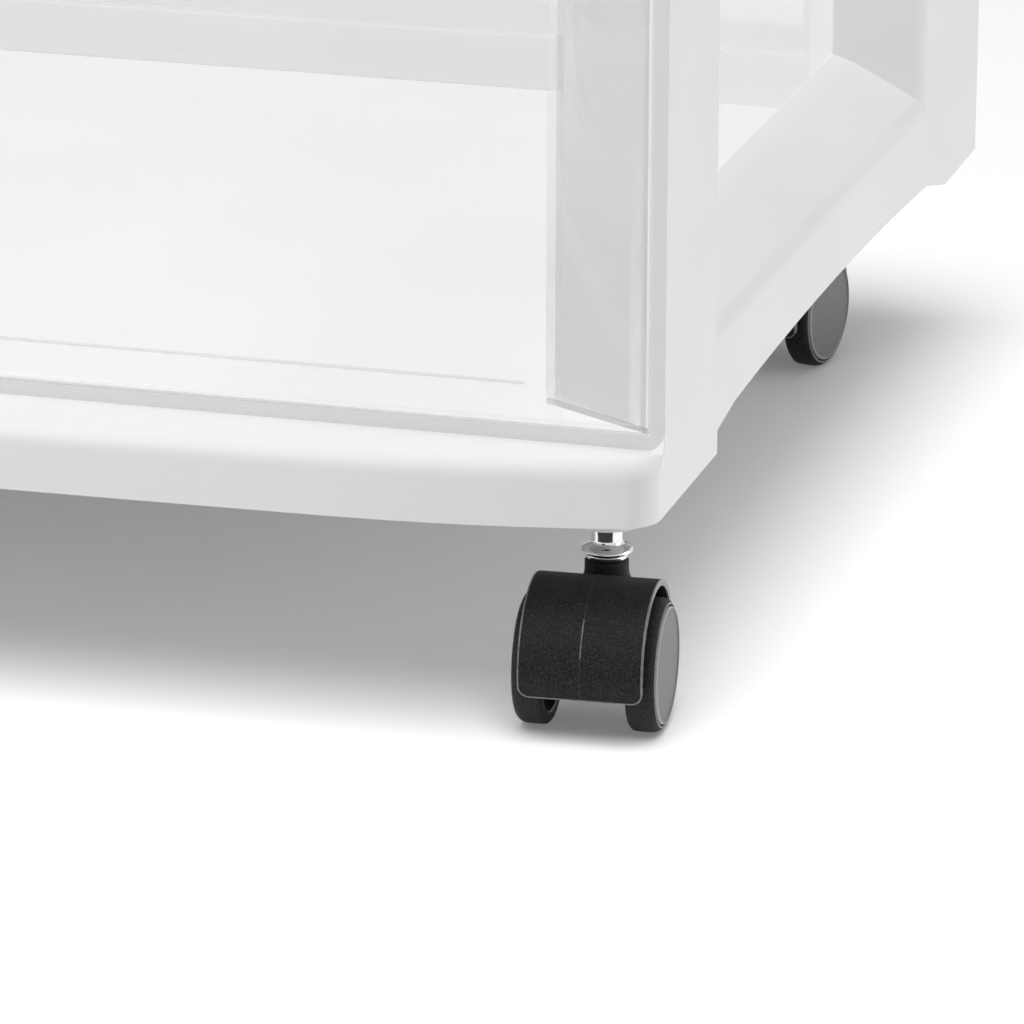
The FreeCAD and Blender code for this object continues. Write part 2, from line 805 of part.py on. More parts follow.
def caster_wheel(name, side):
    """A wheel: tread and rim round a web, with a hub on the axle."""
    body = new_body(name)
    x0 = s.wheel_inner_half_gap
    x1 = x0 + s.tread_width
    x2 = x1 + s.shoulder_width
    face = x2 - s.cap_recess
    bore = s.axle_radius + s.running_gap
    rim = s.wheel_radius - s.rim_wall
    seat = s.wheel_radius - s.shoulder_fall - s.face_ring
    corners = [
        (x0 - s.hub_reach, bore),
        (x0 - s.hub_reach, s.hub_radius),
        (face - s.web_thickness, s.hub_radius),
        (face - s.web_thickness, rim),
        (x0, rim),
        (x0, s.wheel_radius - s.tread_edge),
        (x0 + s.tread_edge, s.wheel_radius),
        (x1, s.wheel_radius),
        (x2, s.wheel_radius - s.shoulder_fall),
        (x2, seat),
        (face, seat),
        (face, bore),
    ]
    path = [(x * side, r) for x, r in corners]
    sketch = outline(body, "XZ_Plane", path, s.trail, up=s.wheel_radius)
    spin(body, sketch, "H_Axis")
    return body


def wheel_cap(name, side):
    """A disc that closes the wheel's outer face."""
    body = new_body(name)
    x0 = s.wheel_inner_half_gap + s.tread_width + s.shoulder_width - s.cap_recess + s.cap_gap
    x1 = x0 + s.cap_rim_height
    radius = s.wheel_radius - s.shoulder_fall - s.face_ring - s.cap_gap
    corners = [
        (x0, 0),
        (x0, radius),
        (x1, radius),
        (x1 + s.cap_edge, radius - s.cap_edge),
        (x1 + s.cap_edge + s.cap_dome, 0),
    ]
    path = [(x * side, r) for x, r in corners]
    sketch = outline(body, "XZ_Plane", path, s.trail, up=s.wheel_radius)
    spin(body, sketch, "H_Axis")
    return body


def caster(corner, x, y, turn):
    parts = [
        caster_stem(f"caster_stem_{corner}"),
        grip_ring(f"grip_ring_{corner}"),
        caster_hood(f"caster_hood_{corner}"),
        caster_axle(f"caster_axle_{corner}"),
    ]
    for word, side in (("a", 1), ("b", -1)):
        parts.append(caster_wheel(f"caster_wheel_{corner}_{word}", side))
        parts.append(wheel_cap(f"wheel_cap_{corner}_{word}", side))
    return [place(part, x, y, turn) for part in parts]


def build():
    parts = [base_frame(), side_frame("side_frame_right", 1), side_frame("side_frame_left", -1)]
    parts.append(shelf("shelf_lower", 1))
    parts.append(shelf("shelf_upper", 2))
    parts.append(top_panel())
    for tier, word in enumerate(("lower", "middle", "upper")):
        parts.append(drawer(f"drawer_{word}", tier))
    for corner, x, y, turn in stem_places():
        parts.extend(caster(corner, x, y, turn))
    return parts


def write(parts):
    """Checks every object, then writes one STEP file for each sub-part."""
    doc.recompute()
    failed = [o.Name for o in doc.Objects if "Invalid" in o.State or "Error" in o.State]
    if failed:
        raise ValueError(f"these objects failed: {failed}")
    for part in parts:
        if part.Shape.isNull() or not part.Shape.isValid():
            raise ValueError(f"{part.Label} is not a valid shape")
    os.makedirs("parts", exist_ok=True)
    for part in parts:
        part.Shape.exportStep(f"parts/{part.Label}.step")
        print(part.Label, round(part.Shape.Volume), len(part.Shape.Solids))


write(build())
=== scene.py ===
import math

import bmesh
import bpy
from mathutils import Matrix, Vector


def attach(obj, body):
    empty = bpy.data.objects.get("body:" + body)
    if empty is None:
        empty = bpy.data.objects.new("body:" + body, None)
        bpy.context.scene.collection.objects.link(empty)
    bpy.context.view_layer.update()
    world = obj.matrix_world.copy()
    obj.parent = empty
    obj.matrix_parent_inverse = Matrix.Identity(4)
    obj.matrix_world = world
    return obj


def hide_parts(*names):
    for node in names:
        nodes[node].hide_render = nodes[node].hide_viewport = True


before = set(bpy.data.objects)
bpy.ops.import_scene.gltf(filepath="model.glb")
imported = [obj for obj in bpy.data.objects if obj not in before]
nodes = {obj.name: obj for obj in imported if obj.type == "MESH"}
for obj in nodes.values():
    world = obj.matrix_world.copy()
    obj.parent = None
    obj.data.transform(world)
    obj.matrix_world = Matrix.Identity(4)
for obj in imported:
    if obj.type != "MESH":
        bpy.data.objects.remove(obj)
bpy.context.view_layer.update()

MM = 0.001

# Sizes in millimetres and angles in degrees; the main ones are the construction's
HALF_WIDTH = 290.0
Y_CORNER, Y_RIM, Y_BACK = -185.75, -174.65, 202.25
BOW_RUN, BOW_RISE = 80.0, 12.6
END_SAG, MIDDLE_SAG = 2.4, 3.9
Z_LOW, Z_LEDGE, Z_PAN = 60.4, 77.4, 81.3
LEDGE_WALL, SKIRT_WALL = 2.8, 3.0
RAIL_ROUND, BACK_ROUND, LEDGE_ROUND, WINDOW_ROUND = 7.4, 2.0, 5.0, 3.6
BASE_EDGE, MOULD_EDGE, HOOD_EDGE = 0.35, 0.8, 0.3
FOOT_RISE, RAMP_RISE, ARCH_SAG = 6.3, 2.6, 2.9
ARCH_START, RAMP_END, ARCH_END, BACK_FOOT = -120.05, -101.05, 131.05, 157.55
FRONT_STEMS, BACK_STEMS = -153.05, 177.85
SOCKET_LOW, SOCKET_BORE, SOCKET_RADIUS = 50.2, 4.2, 9.0
RIB_HALF, RIB_DEPTH, RIB_REACH = 1.2, 12.8, 288.5
RIBS_ALONG = (-150, 0, 150)
BLEND, BLEND_LEAN = 5.5, 2.4
TIER_PITCH = 186.0
TIERS = ("lower", "middle", "upper")
WINDOW_FRONT, WINDOW_BACK = -120.05, 124.75
SILL_RISE, HEAD_DROP = 12.0, 27.0
TUB, FLARE, TUB_FRONT, TUB_BACK = 254.8, 284.8, -156.45, 151.35
PANEL, PANEL_FRONT, PANEL_BACK = 286.0, -176.25, -173.85
DRAWER_GAP, DRAWER_HEIGHT, DRAWER_WALL = 0.4, 171.2, 2.2
BAND_DEPTH, BAND_HEIGHT = 5.8, 16.3
STEP, STEP_HALF, STEP_HEIGHT = -149.0, 0.4, 0.8
PULL_HALF, PULL_SAG, PULL_WALL, PULL_HEIGHT = 120, 22.0, 2.4, 11.0
LIP_HALF, LIP_SAG = 117, 19.6
HOOD_CENTRE, AXLE_CENTRE = (0, -14.0, 18.9), (0, -14.0, 17.4)
HOOD_HALF, HOOD_RADIUS, HOOD_WALL = 16.2, 20.5, 1.6
HOOD_START, HOOD_SWEEP = 17.0, 217.0
# The hood's painted highlight: EDGE_LINE is the width of its line along the edge, and along the
# seam it runs between SEAM_LOW and SEAM_HIGH
HOOD_CORNER, EDGE_LINE = 3.0, 0.4
SEAM_HALF, SEAM_RISE, SEAM_LOW, SEAM_HIGH = 0.14, 0.08, 24.0, 33.0
WEB_HALF, WEB_RADIUS, WEB_LOW = 9.8, 19.2, 12.6
NECK_TOP = 40.5

# Turned outlines of the caster, as (along the axis, out from it)
NECK_LINE = [
    (-9.0, 6.9), (-5.4, 6.4), (-4.0, 5.9), (-3.0, 5.75), (-0.5, 5.75), (0, 5.3), (0, 3.3),
    (-9.0, 3.3), (-9.0, 6.9),
]
WHEEL_LINE = [
    (10.4, 1.58), (10.4, 4.0), (15.2, 4.0), (15.2, 13.6), (11.3, 14.0), (10.9, 14.3),
    (10.9, 16.6), (11.6, 17.3), (12.4, 17.4), (16.2, 17.4), (17.2, 17.2), (18.0, 16.75),
    (18.55, 16.2), (18.6, 15.75), (18.3, 15.35), (17.2, 15.3), (17.2, 1.58), (10.4, 1.58),
]
# Bands of the wheel that take the painted highlight on its rims
WHEEL_HIGHLIGHT_BANDS = ((14.05, 14.4), (15.7, 16.1))  # ranges of radius
DISC_LINE = [
    (17.4, 0), (17.4, 15.25), (18.5, 15.25), (19.0, 15.1), (19.15, 14.8), (19.05, 14.5),
    (18.8, 14.3), (18.8, 14.1), (18.9, 9.0), (18.95, 4.0), (18.95, 0),
]
# Radius from which the disc takes its painted rim highlight
DISC_RIM_RADIUS = 14.75
STEM_LINE = [
    (28.0, 0), (28.0, 3.2), (40.8, 3.2), (40.85, 5.1), (41.1, 5.4), (41.9, 5.4),
    (42.15, 5.25), (42.3, 6.0), (42.55, 6.55), (42.9, 6.78), (43.3, 6.75), (43.65, 6.4),
    (44.2, 5.4), (44.7, 4.5), (45.2, 4.05), (46.0, 4.0), (72.6, 4.0), (72.6, 3.2),
    (74.2, 3.2), (74.2, 4.0), (77.4, 4.0), (78.2, 3.3), (78.2, 0),
]

# How finely arcs are stepped, and which pieces cast shadow or let soft light pass
ARC_STEP = math.radians(4)
LONGEST_FACET = 12.0
SHARP = math.radians(25)
SHADOW_MAKERS = ("base", "hood", "wheel", "disc", "stem")
LIGHT_PASSERS = ("drawer", "shelf", "top")

# Where each caster stands, and how far it is turned, in degrees
CORNERS = {
    "front_right": (269.4, -153.05, 3.6),
    "front_left": (-269.4, -153.05, 5.5),
    "back_right": (238.2, 177.85, -9.3),
    "back_left": (-238.2, 177.85, -6.0),
}


def mm(*values):
    return Vector(values) * MM


# Materials
def new_material(name):
    material = bpy.data.materials.new(name)
    material.use_nodes = True
    tree = material.node_tree
    shader = tree.nodes["Principled BSDF"]
    return material, tree, shader


def noise(tree, scale, detail=4.0, roughness=0.55, stretch=None):
    """Noise on the object's own coordinates, as a factor from 0 to 1."""
    place = tree.nodes.new("ShaderNodeTexCoord")
    mapping = tree.nodes.new("ShaderNodeMapping")
    if stretch:
        mapping.inputs["Scale"].default_value = stretch
    texture = tree.nodes.new("ShaderNodeTexNoise")
    texture.inputs["Scale"].default_value = scale
    texture.inputs["Detail"].default_value = detail
    texture.inputs["Roughness"].default_value = roughness
    tree.links.new(place.outputs["Object"], mapping.inputs["Vector"])
    tree.links.new(mapping.outputs["Vector"], texture.inputs["Vector"])
    return texture.outputs["Fac"]


def ramp(tree, factor, low, high, low_at=0.35, high_at=0.65):
    """Turns a factor into a colour or grey between low and high."""
    node = tree.nodes.new("ShaderNodeValToRGB")
    node.color_ramp.elements[0].position = low_at
    node.color_ramp.elements[0].color = (*low, 1)
    node.color_ramp.elements[1].position = high_at
    node.color_ramp.elements[1].color = (*high, 1)
    tree.links.new(factor, node.inputs["Fac"])
    return node.outputs["Color"]


def bumped(tree, shader, factor, strength, distance):
    bump = tree.nodes.new("ShaderNodeBump")
    bump.inputs["Strength"].default_value = strength
    bump.inputs["Distance"].default_value = distance
    tree.links.new(factor, bump.inputs["Height"])
    tree.links.new(bump.outputs["Normal"], shader.inputs["Normal"])


def white_plastic(name, low, high):
    material, tree, shader = new_material(name)
    tone = noise(tree, 9.0, 3.0)
    tree.links.new(
        ramp(tree, tone, (low, low, low * 1.002), (high, high, high * 1.001)),
        shader.inputs["Base Color"],
    )
    rough = noise(tree, 60.0, 4.0)
    tree.links.new(
        ramp(tree, rough, (0.40, 0.40, 0.40), (0.50, 0.50, 0.50)),
        shader.inputs["Roughness"],
    )
    bumped(tree, shader, noise(tree, 2200.0, 2.0), 0.06, 0.0001)
    shader.inputs["IOR"].default_value = 1.49
    shader.inputs["Specular IOR Level"].default_value = 0.35
    return material


def black_plastic():
    material, tree, shader = new_material("black_nylon_textured")
    grain = noise(tree, 1900.0, 2.0, 0.7)
    tree.links.new(
        ramp(tree, grain, (0.002, 0.002, 0.002), (0.040, 0.040, 0.041), 0.42, 0.72),
        shader.inputs["Base Color"],
    )
    tree.links.new(
        ramp(tree, grain, (0.50, 0.50, 0.50), (0.70, 0.70, 0.70)),
        shader.inputs["Roughness"],
    )
    bumped(tree, shader, grain, 0.8, 0.0003)
    shader.inputs["Specular IOR Level"].default_value = 0.24
    return material


def painted_black_highlight():
    """Painted highlight: a lighter grey for the hood's edge line and seam and the wheels' rims,
    standing in for the light they catch.
    """
    material, tree, shader = new_material("black_nylon_painted_highlight")
    grain = noise(tree, 900.0, 3.0, 0.6)
    tree.links.new(
        ramp(tree, grain, (0.15, 0.15, 0.15), (0.24, 0.24, 0.24)),
        shader.inputs["Base Color"],
    )
    tree.links.new(
        ramp(tree, grain, (0.25, 0.25, 0.25), (0.40, 0.40, 0.40)),
        shader.inputs["Roughness"],
    )
    return material


def disc_plastic(name, low, high):
    material, tree, shader = new_material(name)
    grain = noise(tree, 1500.0, 3.0, 0.7)
    tree.links.new(
        ramp(tree, grain, (low, low, low), (high, high, high * 1.005), 0.35, 0.7),
        shader.inputs["Base Color"],
    )
    tree.links.new(
        ramp(tree, grain, (0.38, 0.38, 0.38), (0.55, 0.55, 0.55)),
        shader.inputs["Roughness"],
    )
    bumped(tree, shader, grain, 0.4, 0.0003)
    return material


def metal(name, colour, low_rough, high_rough):
    material, tree, shader = new_material(name)
    shader.inputs["Metallic"].default_value = 1.0
    marks = noise(tree, 420.0, 3.0, stretch=(1, 1, 6))
    tree.links.new(
        ramp(tree, marks, [c * 0.94 for c in colour], colour),
        shader.inputs["Base Color"],
    )
    tree.links.new(
        ramp(tree, marks, (low_rough,) * 3, (high_rough,) * 3),
        shader.inputs["Roughness"],
    )
    return material


def clear_plastic(name, tint_low, tint_high, gloss, milk=0.0, painted_glow=0.0):
    """Thin clear wall: light passes straight through with a slight tint, the milky
    share of it scatters as in cloudy plastic, and the last argument is painted light,
    an emission in the milky share that makes the wall glow though it is no lamp."""
    material = bpy.data.materials.new(name)
    material.use_nodes = True
    tree = material.node_tree
    tree.nodes.clear()
    output = tree.nodes.new("ShaderNodeOutputMaterial")
    passing = tree.nodes.new("ShaderNodeBsdfTransparent")
    cloudy = tree.nodes.new("ShaderNodeBsdfDiffuse")
    cloudy.inputs["Color"].default_value = (0.9, 0.9, 0.9, 1)
    shine = tree.nodes.new("ShaderNodeBsdfGlossy")
    body = tree.nodes.new("ShaderNodeMixShader")
    body.inputs["Fac"].default_value = milk
    mix = tree.nodes.new("ShaderNodeMixShader")
    fresnel = tree.nodes.new("ShaderNodeFresnel")
    scale = tree.nodes.new("ShaderNodeMath")
    scale.operation = "MULTIPLY"
    scale.inputs[1].default_value = gloss
    fresnel.inputs["IOR"].default_value = 1.49
    shine.inputs["Roughness"].default_value = 0.06
    waves = noise(tree, 14.0, 3.0, stretch=(1, 1, 0.25))
    tree.links.new(
        ramp(tree, waves, (tint_low,) * 3, (tint_high,) * 3, 0.3, 0.7),
        passing.inputs["Color"],
    )
    tree.links.new(passing.outputs["BSDF"], body.inputs[1])
    # Painted glow: emission that brightens the wall though it is no lamp
    glow = tree.nodes.new("ShaderNodeEmission")
    glow.inputs["Strength"].default_value = painted_glow
    both = tree.nodes.new("ShaderNodeAddShader")
    tree.links.new(cloudy.outputs["BSDF"], both.inputs[0])
    tree.links.new(glow.outputs["Emission"], both.inputs[1])
    tree.links.new(both.outputs["Shader"], body.inputs[2])
    tree.links.new(fresnel.outputs["Fac"], scale.inputs[0])
    tree.links.new(scale.outputs["Value"], mix.inputs["Fac"])
    tree.links.new(body.outputs["Shader"], mix.inputs[1])
    tree.links.new(shine.outputs["BSDF"], mix.inputs[2])
    tree.links.new(mix.outputs["Shader"], output.inputs["Surface"])
    return material


WHITE = white_plastic("white_plastic_satin", 0.855, 0.885)
# A darker copy of the white plastic: painted shade for the upright band around the drawer openings
WHITE_PAINTED_SHADE = white_plastic("white_plastic_painted_shade", 0.79, 0.82)
BLACK = black_plastic()
# Lighter black nylon: painted highlight for the caster's edge lines, seam and wheel rims
BLACK_HIGHLIGHT = painted_black_highlight()
DISC = disc_plastic("grey_disc_textured", 0.12, 0.19)
# Lighter grey on the disc's rounded rim: painted highlight
DISC_RIM_HIGHLIGHT = disc_plastic("grey_disc_painted_rim_highlight", 0.42, 0.50)
CHROME = metal("chrome_polished", (0.86, 0.86, 0.87), 0.05, 0.12)
STEEL = metal("steel_plain", (0.62, 0.62, 0.63), 0.25, 0.4)
CLEAR = clear_plastic("clear_wall", 0.985, 0.996, 0.35)
# Drawer floor: a painted glow brightens it beyond the lamps' light
CLEAR_FLOOR = clear_plastic("clear_drawer_floor", 0.995, 1.0, 0.10, 0.12, 0.20)
# A grey tint: painted shade for the flared corners, where the shaded posts show through; the pull
# uses it too
CLEAR_FLARE = clear_plastic("clear_flared_corner", 0.955, 0.985, 0.45, 0.08)
# A darker tint on the tub's cut edges: painted shade
CLEAR_EDGE = clear_plastic("clear_edge", 0.88, 0.93, 0.5, 0.05)
CLEAR_BAND = clear_plastic("clear_rear_band", 0.95, 0.97, 0.3, 0.45)
# Milky and glowing: painted highlight on the front panel's cut edges
CLEAR_CUT = clear_plastic("clear_cut_edge", 0.97, 0.99, 0.05, 0.5, 0.1)
# Side walls: a painted glow makes up for the light that the frame keeps from them
CLEAR_SIDE = clear_plastic("clear_side_wall", 0.985, 0.997, 0.10, 0.2, 0.32)
# A strong grey tint: painted shade for the line along the flared corners' foot
CLEAR_LINE = clear_plastic("clear_grey_painted_shade_line", 0.80, 0.82, 0.1, 0.1)


# Making shapes
def outline(bm, path, height):
    """A closed wire at a height. A corner is (x, y), or (x, y, sag) where an arc of
    that sag, bulging to the right of travel, leads to the next corner."""
    for corner, following in zip(path, path[1:] + path[:1]):
        start, end = mm(corner[0], corner[1], height), mm(following[0], following[1], height)
        first = bm.verts.new(start)
        if len(corner) == 2:
            bm.edges.new((first, bm.verts.new(end)))
            continue
        chord = end - start
        sag = corner[2] * MM
        radius = (chord.length_squared / (8 * abs(sag)) + abs(sag) / 2) * math.copysign(1, sag)
        side = Vector((chord.y, -chord.x, 0)).normalized()
        centre = (start + end) / 2 + side * (sag - radius)
        angle = 2 * math.asin(chord.length / 2 / radius)
        steps = max(2, round(abs(angle) / ARC_STEP), round(chord.length / MM / LONGEST_FACET))
        bmesh.ops.spin(bm, geom=[first], cent=centre, axis=(0, 0, 1), angle=angle, steps=steps)
    bmesh.ops.remove_doubles(bm, verts=bm.verts, dist=0.02 * MM)


def slab(path, low, high):
    """A flat plate with that outline, from one height to another."""
    bm = bmesh.new()
    outline(bm, path, low)
    bmesh.ops.edgeloop_fill(bm, edges=bm.edges)
    made = bmesh.ops.extrude_face_region(bm, geom=bm.faces[:])["geom"]
    verts = [v for v in made if isinstance(v, bmesh.types.BMVert)]
    bmesh.ops.translate(bm, verts=verts, vec=mm(0, 0, high - low))
    bmesh.ops.recalc_face_normals(bm, faces=bm.faces)
    return bm


def sharp(edge):
    return len(edge.link_faces) == 2 and edge.calc_face_angle(0) > SHARP


def rounded(bm, chosen, width, segments):
    """Bevels the sharp edges that the test picks."""
    edges = [e for e in bm.edges if sharp(e) and chosen(e.verts[0].co / MM, e.verts[1].co / MM)]
    bmesh.ops.bevel(
        bm,
        geom=edges,
        offset=width * MM,
        offset_type="OFFSET",
        affect="EDGES",
        segments=segments,
        profile=0.5,
        material=-1,
    )


def upright(x, y):
    def chosen(a, b):
        stands = abs(a.z - b.z) > 1 and abs(a.x - b.x) < 0.1 and abs(a.y - b.y) < 0.1
        return stands and abs(abs(a.x) - x) < 0.1 and abs(a.y - y) < 0.1

    return chosen


def turned(profile, centre, axis, across, steps=72, angle=360.0):
    """Turns a line of (along, out) points about an axis through centre; out is
    measured in the direction across."""
    bm = bmesh.new()
    axis, across = Vector(axis), Vector(across)
    verts = [bm.verts.new(mm(*centre) + (axis * a + across * r) * MM) for a, r in profile]
    edges = [bm.edges.new(pair) for pair in zip(verts, verts[1:])]
    full = angle == 360.0
    bmesh.ops.spin(
        bm,
        geom=verts + edges,
        cent=mm(*centre),
        axis=axis,
        angle=math.radians(angle),
        steps=steps,
        use_merge=full,
    )
    bmesh.ops.remove_doubles(bm, verts=bm.verts, dist=0.001 * MM)
    bmesh.ops.recalc_face_normals(bm, faces=bm.faces)
    return bm


def joined(*parts):
    """One bmesh of several; the parts are used up."""
    whole = bmesh.new()
    for part in parts:
        mesh = mesh_of("passing", part)
        whole.from_mesh(mesh)
        bpy.data.meshes.remove(mesh)
    return whole


def mesh_of(name, bm):
    """A mesh of a bmesh, which is used up."""
    mesh = bpy.data.meshes.new(name)
    bm.to_mesh(mesh)
    bm.free()
    return mesh


def placed(name, data):
    """An object of that mesh, lamp or lens, in the scene."""
    thing = bpy.data.objects.new(name, data)
    bpy.context.scene.collection.objects.link(thing)
    return thing


def finish_piece(name, bm, body, materials, replaced, bevel=0.0, segments=3, place=None):
    """Makes an object of a bmesh, in place, riding on a body."""
    if place:
        bmesh.ops.transform(bm, matrix=place, verts=bm.verts)
    piece = placed(name, mesh_of(name, bm))
    mesh = piece.data
    for material in materials:
        mesh.materials.append(material)
    mesh.shade_smooth()
    if bevel:
        modifier = piece.modifiers.new("soft_edges", "BEVEL")
        modifier.width = bevel * MM
        modifier.segments = segments
        modifier.limit_method = "ANGLE"
        modifier.angle_limit = math.radians(30)
        if "bevel_weight_edge" in mesh.attributes:
            modifier.limit_method = "WEIGHT"
    normals = piece.modifiers.new("even_shading", "WEIGHTED_NORMAL")
    normals.keep_sharp = True
    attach(piece, body)
    if replaced:
        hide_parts(*replaced)
    piece.visible_shadow = name.startswith(SHADOW_MAKERS)
    piece.visible_diffuse = not name.startswith(LIGHT_PASSERS)
    return piece


# White frame
def bowed_plan():
    """The base's outline from above, with three arcs along the front."""
    x, y = HALF_WIDTH - BOW_RUN, Y_CORNER - BOW_RISE
    return [
        (HALF_WIDTH, Y_BACK),
        (-HALF_WIDTH, Y_BACK),
        (-HALF_WIDTH, Y_CORNER, END_SAG),
        (-x, y, MIDDLE_SAG),
        (x, y, END_SAG),
        (HALF_WIDTH, Y_CORNER),
    ]


def box_path(x0, x1, y0, y1):
    return [(x1, y1), (x0, y1), (x0, y0), (x1, y0)]


def rail_top_front(a, b):
    """Picks the top edges of the bowed front, from corner to corner."""
    level = abs(a.z - Z_LEDGE) < 0.1 and abs(b.z - Z_LEDGE) < 0.1
    return level and max(a.y, b.y) < Y_CORNER + 9.0 and abs(a.y - b.y) < 30


def arch_height(y):
    """Height of the side rail's lower edge between the feet."""
    if y > ARCH_END:
        t = (y - ARCH_END) / (BACK_FOOT - ARCH_END)
        return Z_LOW + FOOT_RISE * (1 - t)
    if y < RAMP_END:
        return Z_LOW + FOOT_RISE + RAMP_RISE * (y - ARCH_START) / (RAMP_END - ARCH_START)
    t = (y - RAMP_END) / (ARCH_END - RAMP_END)
    return Z_LOW + FOOT_RISE + RAMP_RISE * (1 - t) + ARCH_SAG * (1 - (2 * t - 1) ** 2)


def cut(bm, place, normal):
    """Adds edges where a plane passes through everything."""
    geom = bm.verts[:] + bm.edges[:] + bm.faces[:]
    bmesh.ops.bisect_plane(bm, geom=geom, plane_co=mm(*place), plane_no=normal)


def edges_where(bm, test):
    return [e for e in bm.edges if test(e.verts[0].co / MM) and test(e.verts[1].co / MM)]


def lowered_ledge(bm):
    """Steps the front of the slab down to the ledge, with an upright riser."""
    cut(bm, (0, Y_RIM, 0), (0, 1, 0))
    cut(bm, (0, 0, Z_LEDGE), (0, 0, 1))
    gone = []
    for face in bm.faces:
        middle = face.calc_center_median() / MM
        if middle.y < Y_RIM - 0.001 and middle.z > Z_LEDGE + 0.01:
            gone.append(face)
    bmesh.ops.delete(bm, geom=gone, context="FACES")

    def on_rim(v):
        return abs(v.y - Y_RIM) < 0.01 and v.z > Z_LEDGE - 0.01

    ends = [v for v in bm.verts if on_rim(v.co / MM) and v.co.z / MM < Z_LEDGE + 0.01]
    bmesh.ops.contextual_create(bm, geom=ends)
    bmesh.ops.edgeloop_fill(bm, edges=edges_where(bm, on_rim))
    rest = [e for e in bm.edges if e.is_boundary]
    bmesh.ops.edgeloop_fill(bm, edges=rest)
    bmesh.ops.recalc_face_normals(bm, faces=bm.faces)


def base_moulding():
    """The hollow base: rail, ledge, pan and skirts with their arch, ribs and sockets."""
    bm = slab(bowed_plan(), Z_LOW, Z_PAN)
    rounded(bm, upright(HALF_WIDTH, Y_CORNER), RAIL_ROUND, 8)
    rounded(bm, upright(HALF_WIDTH, Y_BACK), BACK_ROUND, 3)
    lowered_ledge(bm)
    rounded(bm, rail_top_front, LEDGE_ROUND, 6)
    under = [f for f in bm.faces if f.normal.z < -0.9]
    bmesh.ops.inset_region(bm, faces=under, thickness=SKIRT_WALL * MM)
    deepened = list({v for f in under for v in f.verts})
    bmesh.ops.translate(bm, verts=deepened, vec=mm(0, 0, Z_LEDGE - LEDGE_WALL - Z_LOW))
    stops = [ARCH_START, ARCH_START + 0.2]
    stops += [RAMP_END + (ARCH_END - RAMP_END) * i / 10 for i in range(11)]
    stops += [BACK_FOOT - 8, BACK_FOOT]
    for y in stops:
        cut(bm, (0, y, 0), (0, 1, 0))
    for v in bm.verts:
        y = v.co.y / MM
        if abs(v.co.z / MM - Z_LOW) < 0.1 and ARCH_START + 0.1 < y < BACK_FOOT - 0.1:
            v.co.z = arch_height(y) * MM
    parts = [bm]
    rib_low, rib_high = Z_PAN - RIB_DEPTH, Z_LEDGE - 1
    for y in (FRONT_STEMS, BACK_STEMS):
        across = box_path(-RIB_REACH, RIB_REACH, y - RIB_HALF, y + RIB_HALF)
        parts.append(slab(across, rib_low, rib_high))
    for x in RIBS_ALONG:
        along = box_path(x - RIB_HALF, x + RIB_HALF, FRONT_STEMS, BACK_STEMS)
        parts.append(slab(along, rib_low, rib_high))
    high = rib_high - SOCKET_LOW
    tube = [(0, SOCKET_BORE), (0, SOCKET_RADIUS), (high, SOCKET_RADIUS), (high, SOCKET_BORE)]
    for x, y, _ in CORNERS.values():
        parts.append(turned(tube + tube[:1], (x, y, SOCKET_LOW), (0, 0, 1), (1, 0, 0), 40))
    parts += [corner_blend(-1), corner_blend(1)]
    base = joined(*parts)
    weigh_edges(base, lambda a, b: min(a.z, b.z) < Z_PAN - 0.3)
    paint_rim_shade(base)
    layers, replaced = [WHITE, WHITE_PAINTED_SHADE], ["base_frame"]
    finish_piece("base_moulding", base, "frame", layers, replaced, BASE_EDGE)


def paint_rim_shade(bm):
    """Paints shade on the narrow upright band around the drawer openings: its front faces take the
    darker copy of the white plastic.
    """
    for face in bm.faces:
        if face.normal.y < -0.99 and abs(face.calc_center_median().y / MM - Y_RIM) < 0.05:
            face.material_index = 1


def weigh_edges(bm, chosen):
    """Marks the sharp edges that the test picks, for the closing bevel."""
    layer = bm.edges.layers.float.new("bevel_weight_edge")
    for edge in bm.edges:
        if not sharp(edge):
            continue
        picked = chosen(edge.verts[0].co / MM, edge.verts[1].co / MM)
        edge[layer] = float(picked)
        edge.smooth = picked


def corner_blend(side):
    """Fills the corner between the ledge and a post, outside the rounded end of the
    rim, and leans back as it rises."""
    x, z = HALF_WIDTH - 0.05, Z_LEDGE - 0.3
    bm = bmesh.new()
    outline(bm, [(x, z), (x, z + BLEND, -BLEND * 0.2929), (x - BLEND, z)], 0)
    bmesh.ops.edgeloop_fill(bm, edges=bm.edges)
    turn = Matrix(((side, 0, 0, 0), (0, 0, 1, (Y_RIM + 0.2) * MM), (0, 1, 0, 0), (0, 0, 0, 1)))
    bmesh.ops.transform(bm, matrix=turn, verts=bm.verts)
    made = bmesh.ops.extrude_face_region(bm, geom=bm.faces[:])["geom"]
    for v in made:
        if isinstance(v, bmesh.types.BMVert):
            height = v.co.z / MM - z
            v.co.y -= max(0.1, BLEND_LEAN * (1 - height / BLEND) ** 2) * MM
    bmesh.ops.recalc_face_normals(bm, faces=bm.faces)
    return bm


def copy_of(node):
    """A joined-up copy of a node's mesh with its flat faces made whole."""
    bm = bmesh.new()
    bm.from_mesh(nodes[node].data)
    bmesh.ops.remove_doubles(bm, verts=bm.verts, dist=0.002 * MM)
    bmesh.ops.dissolve_limit(
        bm,
        angle_limit=math.radians(0.05),
        verts=bm.verts,
        edges=bm.edges,
        delimit={"NORMAL"},
    )
    return bm


